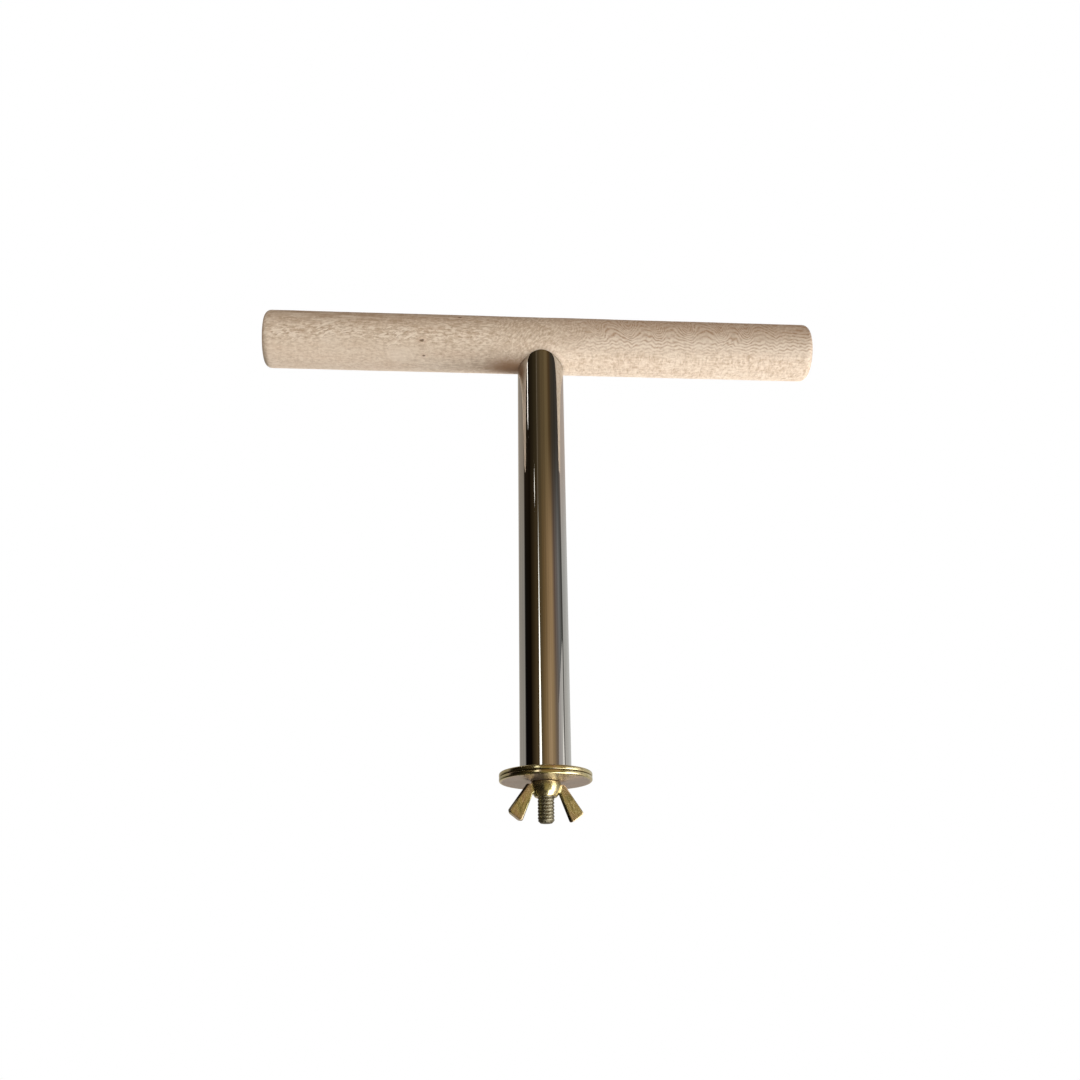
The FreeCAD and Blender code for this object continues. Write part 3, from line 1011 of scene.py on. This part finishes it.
class TSTAND_OT_wing_nut(bpy.types.Operator):
    """Build the wing nut with its tapped hole"""

    bl_idname = "tstand.wing_nut"
    bl_label = "Wing nut"

    def hub(self, clamp):
        """The domed hub, its seat at height 0 and its tip below: a curve through three diameters."""
        corners = [(0.0, 0.0), (clamp.hub_base / 2 - clamp.seat_bevel, 0.0)]
        stations = (
            (0.0, clamp.hub_base),
            (clamp.hub_belly_depth, clamp.hub_belly),
            (clamp.hub_height, clamp.hub_tip),
        )
        steps = 16
        for step in range(steps + 1):
            depth = clamp.seat_bevel + (clamp.hub_height - clamp.seat_bevel) * step / steps
            radius = 0.0
            for here, diameter in stations:
                weight = diameter / 2
                for other in [station[0] for station in stations if station[0] != here]:
                    weight *= (depth - other) / (here - other)
                radius += weight
            corners.append((radius, -depth))
        corners.append((0.0, -clamp.hub_height))
        return turned_mesh("hub", corners, 160)

    def wing(self, clamp, side):
        """One straight, blunt wing that leans outwards: an outline in three layers, its edges rounded."""
        tip = Vector((clamp.wing_span / 2, clamp.wing_shoulder))
        inner_tip = Vector((clamp.wing_gap / 2, clamp.wing_drop))
        root = Vector((7.6 * MM, 0.8 * MM))
        inner_root = Vector((5.2 * MM, 4.8 * MM))
        hidden_top = Vector((3.7 * MM, 0.8 * MM))
        hidden_foot = Vector((2.2 * MM, 2.8 * MM))
        outer_run = (tip - root).normalized()
        inner_run = (inner_tip - inner_root).normalized()
        outwards = Vector((-outer_run.y, outer_run.x))
        inwards = Vector((inner_run.y, -inner_run.x))
        still = Vector((0.0, 0.0))
        outline = (
            (hidden_top, still),
            (root, outwards),
            (tip, outwards),
            (inner_tip, inwards),
            (inner_root, inwards),
            (hidden_foot, still),
        )
        half = clamp.wing_thickness / 2
        length = (inner_tip - inner_root).length
        shape = bmesh.new()
        layers = []
        for place, draft in ((-1.0, clamp.wing_draft), (0.0, 0.0), (1.0, clamp.wing_draft)):
            layer = []
            for corner, way in outline:
                spot = corner + way * draft
                along = (spot - inner_root).dot(inner_run) / length
                thickness = half * (1.0 + clamp.wing_taper * (0.5 - along))
                layer.append(shape.verts.new((side * spot.x, place * thickness, -spot.y)))
            layers.append(layer)
        shape.faces.new(layers[0])
        shape.faces.new(layers[2])
        for first, second in zip(layers, layers[1:]):
            for corner in range(len(outline)):
                after = (corner + 1) % len(outline)
                shape.faces.new((first[corner], first[after], second[after], second[corner]))

        def across_tip(start, end):
            crosses = abs(start.y - end.y) > half / 2
            return crosses and abs(start.x) > clamp.wing_gap / 2 - clamp.tip_rounding

        def along_side(start, end):
            runs = start.y * end.y > half ** 2 / 4
            return runs and abs(start.z - end.z) > clamp.wing_shoulder / 2

        roundings = ((across_tip, clamp.tip_rounding, 5), (along_side, clamp.wing_rounding, 4))
        for chosen, radius, segments in roundings:
            edges = [edge for edge in shape.edges if chosen(*(vertex.co for vertex in edge.verts))]
            bmesh.ops.bevel(
                shape, geom=edges, offset=radius, segments=segments, profile=0.5, affect="EDGES"
            )
        bmesh.ops.recalc_face_normals(shape, faces=shape.faces)
        return mesh_of("wing", shape)

    def execute(self, context):
        clamp = context.scene.tstand_clamp
        rod = context.scene.tstand_rod
        mesh = self.hub(clamp)
        for side in (1, -1):
            mesh = combined("wing_nut_body", mesh, "UNION", self.wing(clamp, side))
        forged = new_object("wing_nut_body", mesh)
        remesh = forged.modifiers.new("even out", "REMESH")
        remesh.mode = "VOXEL"
        remesh.voxel_size = clamp.forged_detail
        soften = forged.modifiers.new("soften", "SMOOTH")
        soften.factor = 0.5
        soften.iterations = 8
        mesh = evaluated_copy(forged, "wing_nut")
        drop(forged)
        turn = Matrix.Rotation(clamp.rest_turn, 4, "Z")
        mesh.transform(Matrix.Translation((0.0, 0.0, nut_seat)) @ turn)

        crest = rod.thread_diameter / 2
        tip = nut_seat - clamp.hub_height
        mouth = crest + clamp.countersink
        material = nut_zinc(clamp)
        for face, inward in ((tip, 1.0), (nut_seat, -1.0)):
            outside = face - inward * clamp.countersink
            sink = [(0.0, outside), (mouth + clamp.countersink, outside), (0.0, face + inward * mouth)]
            mesh = combined("wing_nut", mesh, "DIFFERENCE", turned_mesh("sink", sink, 96))
        extra = 2 * rod.pitch
        reach = (tip - extra, clamp.hub_height + 2 * extra)
        tap = thread_mesh("tap", rod, material, *reach, clamp.thread_gap, crest, crest)
        mesh = combined("wing_nut", mesh, "DIFFERENCE", tap)
        show("wing_nut_forged", mesh, 45.0, material, "wing_nut", "wing_nut")
        return {"FINISHED"}


class TSTAND_OT_fittings(bpy.types.Operator):
    """Give the fittings inside the stand their metals"""

    bl_idname = "tstand.fittings"
    bl_label = "Inner fittings"

    def execute(self, context):
        rod = context.scene.tstand_rod
        metals = (
            ("threaded_insert", "insert_brass", (0.78, 0.57, 0.24), (0.45, 0.30, 0.12), 0.28),
            ("tube_plug", "plug_steel", (0.48, 0.48, 0.48), (0.27, 0.25, 0.23), 0.35),
            ("lock_nut", "lock_nut_plating", rod.plating, rod.dark_plating, 0.32),
        )
        for node, *looks in metals:
            material = fitting_metal(*looks)
            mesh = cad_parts[node].data
            for slot in range(len(mesh.materials)):
                mesh.materials[slot] = material
            if not mesh.materials:
                mesh.materials.append(material)
        return {"FINISHED"}


# The stage


def glow(name):
    """A new material without a shader, and its node tree, for a surface that glows."""
    material = bpy.data.materials.new(name)
    material.use_nodes = True
    material.node_tree.nodes.clear()
    return material, material.node_tree


def finish_glow(tree, tone, clearness=None):
    """Lets the material glow in this tone, and what is behind show through as far as it is clear."""
    light = add(tree, "ShaderNodeEmission", {"Color": tone, "Strength": 1.0})
    if clearness is not None:
        clear = add(tree, "ShaderNodeBsdfTransparent")
        light = add(tree, "ShaderNodeMixShader", {0: clearness, 1: light, 2: clear})
    add(tree, "ShaderNodeOutputMaterial", {"Surface": light})


def room_material(stage):
    """Tones of the room round the post: they change with the direction, and with the height."""
    material, tree = glow("room")
    place = millimetres(tree, turn=stage.view_turn)
    x, y, z = parts_of(place)
    direction = x.arc_tangent(y * -1.0) / tau + 0.5
    low, middle, high = [
        ramp(direction, [(band[0] / 360.0 + 0.5, band[level]) for band in ROOM]) for level in (1, 2, 3)
    ]
    tone = blend(z.step(stage.room_low / MM, stage.room_middle / MM), low, middle)
    tone = blend(z.step(stage.room_middle / MM, stage.room_high / MM), tone, high)
    streaks = cloud(place, (45.0, 45.0, 4000.0), 3.0, 0.6)
    darker = blend(0.55, tone, (0.0, 0.0, 0.0))
    finish_glow(tree, blend(streaks.step(0.55, 0.25), tone, darker))
    return material


def panel_material(name, tone, far_tone=None, start=0.0, end=1.0, axis=2, fade=None):
    """A glowing tone that may change to another along an axis, and may fade out between two heights."""
    material, tree = glow(name)
    places = parts_of(object_place(tree))
    clearness = places[2].step(*fade) if fade else None
    finish_glow(tree, blend(places[axis].step(start, end), tone, far_tone or tone), clearness)
    return material


def around(stage, turn, height, radius):
    """A point round the post: degrees from the camera's side, rising to the right, and a height."""
    direction = radians(turn) + stage.view_turn
    return Vector((radius * sin(direction), -radius * cos(direction), height))


def stage_only(name, shape, material):
    """Shows a panel to shiny surfaces alone: it is not in the picture and gives no light."""
    mesh = mesh_of(name, shape)
    mesh.materials.append(material)
    made = new_object(name, mesh)
    made.visible_camera = False
    made.visible_diffuse = False
    made.visible_shadow = False
    made.visible_transmission = False


def reflection_panel(name, stage, columns, material, reach=1.0):
    """A curved panel that only reflections show, from (degrees, lower edge, upper edge) columns."""
    shape = bmesh.new()
    radius = stage.panel_distance * reach
    sides = []
    for before, after in zip(columns, columns[1:]):
        steps = max(1, ceil((after[0] - before[0]) / 5.0))
        for step in range(steps):
            sides.append([a + (b - a) * step / steps for a, b in zip(before, after)])
    sides.append(columns[-1])
    pairs = []
    for turn, *edges in sides:
        pairs.append([shape.verts.new(around(stage, turn, height, radius)) for height in edges])
    for left, right in zip(pairs, pairs[1:]):
        shape.faces.new((left[0], right[0], right[1], left[1]))
    stage_only(name, shape, material)


def floor_panel(name, stage, left, right, tone):
    """A flat sector round the post, just above the floor, that only reflections show."""
    shape = bmesh.new()
    height = stage.floor_height + stage.floor_panel_rise
    middle = shape.verts.new((0.0, 0.0, height))
    steps = 24
    turns = [left + (right - left) * step / steps for step in range(steps + 1)]
    rim = [shape.verts.new(around(stage, turn, height, stage.floor_panel_radius)) for turn in turns]
    for first, second in zip(rim, rim[1:]):
        shape.faces.new((middle, first, second))
    stage_only(name, shape, panel_material(name, tone))


def plain_rays(tree):
    """1 for rays of the camera, of mirrors and through clear things, and 0 for those that give light."""
    kinds = ("Is Camera Ray", "Is Glossy Ray", "Is Transmission Ray")
    seen, mirrored, through = [add(tree, "ShaderNodeLightPath", output=kind) for kind in kinds]
    return (seen + mirrored + through).at_most(1.0)


class TSTAND_OT_stage(bpy.types.Operator):
    """Build the floor, lamps, reflection panels and camera"""

    bl_idname = "tstand.stage"
    bl_label = "Stage"

    def floor(self, stage):
        """A pale disc that keeps shadows near the stand, and is seen as white further away."""
        material, tree = glow("floor")
        x, y, z = parts_of(object_place(tree))
        far = from_axis(x, y).step(0.35, 0.75)
        tone = blend(far, stage.floor_colour, stage.far_floor)
        matt = add(tree, "ShaderNodeBsdfDiffuse", {"Color": tone})
        white = add(tree, "ShaderNodeEmission", {"Color": (1.0, 1.0, 1.0, 1.0), "Strength": 1.0})
        lifted = plain_rays(tree) * (far * (1.0 - stage.floor_glow) + stage.floor_glow)
        mixed = add(tree, "ShaderNodeMixShader", {0: lifted, 1: matt, 2: white})
        add(tree, "ShaderNodeOutputMaterial", {"Surface": mixed})
        disc = [(0.0, stage.floor_height), (stage.floor_radius, stage.floor_height)]
        mesh = turned_mesh("floor", disc, 96)
        mesh.materials.append(material)
        new_object("floor", mesh)

    def surroundings(self, stage):
        """White where it is seen, and a weak warm light from all round."""
        world = bpy.data.worlds.new("surroundings")
        bpy.context.scene.world = world
        world.use_nodes = True
        tree = world.node_tree
        tree.nodes.clear()
        plain = plain_rays(tree)
        tone = blend(plain, stage.sky_tone, (1.0, 1.0, 1.0))
        strength = plain * (1.0 - stage.sky) + stage.sky
        light = add(tree, "ShaderNodeBackground", {"Color": tone, "Strength": strength})
        add(tree, "ShaderNodeOutputWorld", {"Surface": light})

    def lamp(self, name, energy, place, width, height, tone):
        """An oval lamp, aimed at the middle of the stand, that no mirror shows."""
        light = bpy.data.lights.new(name, "AREA")
        light.shape = "ELLIPSE"
        light.size = width
        light.size_y = height
        light.energy = energy
        light.color = tone
        made = new_object(name, light)
        made.location = place
        made.rotation_mode = "QUATERNION"
        middle = Vector((0.0, 0.0, 0.12))
        made.rotation_quaternion = (middle - Vector(place)).to_track_quat("-Z", "Y")
        made.visible_camera = False
        made.visible_glossy = False

    def panels(self, stage):
        """The room, bright shapes, low screens and cloths that the metals mirror."""
        below = stage.floor_height
        walls = ((-180.0, below, stage.room_top), (180.0, below, stage.room_top))
        reflection_panel("room", stage, walls, room_material(stage))
        for name, columns, tones in WINDOWS:
            reflection_panel(name, stage, columns, panel_material(name, *tones), WINDOW_REACH)
        top = stage.screen_top
        for name, left, right, tones in SCREENS:
            material = panel_material(name, *tones, fade=(stage.screen_fade, top))
            columns = ((left, below, top), (right, below, top))
            reflection_panel(name, stage, columns, material, SCREEN_REACH)
        for name, left, right, tone in CLOTHS:
            floor_panel(name, stage, left, right, tone)

    def camera(self, stage):
        """The camera, low in front of the stand and looking up."""
        turn, rise, roll = stage.view_turn, stage.view_rise, stage.view_roll
        level = cos(rise)
        back = Vector((sin(turn) * level, -cos(turn) * level, sin(rise)))
        right = (-back).cross(Vector((0.0, 0.0, 1.0))).normalized()
        up = right.cross(-back)
        aim = Vector((0.0, 0.0, stage.aim_height))
        place = aim + back * stage.view_distance + right * stage.aim_shift
        rolled_right = right * cos(roll) + up * sin(roll)
        rolled_up = up * cos(roll) - right * sin(roll)
        data = bpy.data.cameras.new("camera")
        data.lens = stage.lens
        data.sensor_width = 36.0
        data.clip_start = 0.01
        data.clip_end = 100.0
        made = new_object("camera", data)
        axes = Matrix((rolled_right, rolled_up, back)).transposed().to_4x4()
        made.matrix_world = Matrix.Translation(place) @ axes
        bpy.context.scene.camera = made

    def execute(self, context):
        stage = context.scene.tstand_stage
        self.floor(stage)
        self.surroundings(stage)
        self.panels(stage)
        warm = (1.0, 0.97, 0.93)
        self.lamp("key", stage.key_power, (0.85, 0.20, -0.45), 1.00, 0.32, (0.985, 0.985, 1.0))
        self.lamp("fill", stage.fill_power, (-0.15, -0.85, 0.04), 0.70, 0.50, warm)
        self.lamp("back", stage.back_power, (0.15, 0.85, 0.10), 0.70, 0.50, warm)
        self.camera(stage)
        context.scene.view_settings.view_transform = "Standard"
        return {"FINISHED"}


# The add-on


OPERATORS = (
    TSTAND_OT_stage,
    TSTAND_OT_perch,
    TSTAND_OT_post,
    TSTAND_OT_rod,
    TSTAND_OT_washers,
    TSTAND_OT_wing_nut,
    TSTAND_OT_fittings,
)


class TSTAND_PT_tools(bpy.types.Panel):
    """Lists the steps that build the stand"""

    bl_idname = "TSTAND_PT_tools"
    bl_label = "T-stand"
    bl_space_type = "VIEW_3D"
    bl_region_type = "UI"
    bl_category = "T-stand"

    def draw(self, context):
        for operator in OPERATORS:
            self.layout.operator(operator.bl_idname)


SETTINGS = {
    "tstand_perch": PerchSettings,
    "tstand_post": PostSettings,
    "tstand_rod": RodSettings,
    "tstand_clamp": ClampSettings,
    "tstand_stage": StageSettings,
}


def register():
    """Adds the settings, the operators and the panel."""
    for name, group in SETTINGS.items():
        bpy.utils.register_class(group)
        setattr(bpy.types.Scene, name, PointerProperty(type=group))
    for operator in OPERATORS:
        bpy.utils.register_class(operator)
    bpy.utils.register_class(TSTAND_PT_tools)


def unregister():
    """Takes out the panel, the operators and the settings."""
    bpy.utils.unregister_class(TSTAND_PT_tools)
    for operator in reversed(OPERATORS):
        bpy.utils.unregister_class(operator)
    for name, group in SETTINGS.items():
        delattr(bpy.types.Scene, name)
        bpy.utils.unregister_class(group)


def main():
    """Builds everything."""
    register()
    bpy.ops.tstand.stage()
    bpy.ops.tstand.perch()
    bpy.ops.tstand.post()
    bpy.ops.tstand.rod()
    bpy.ops.tstand.washers()
    bpy.ops.tstand.wing_nut()
    bpy.ops.tstand.fittings()


if __name__ == "__main__":
    main()
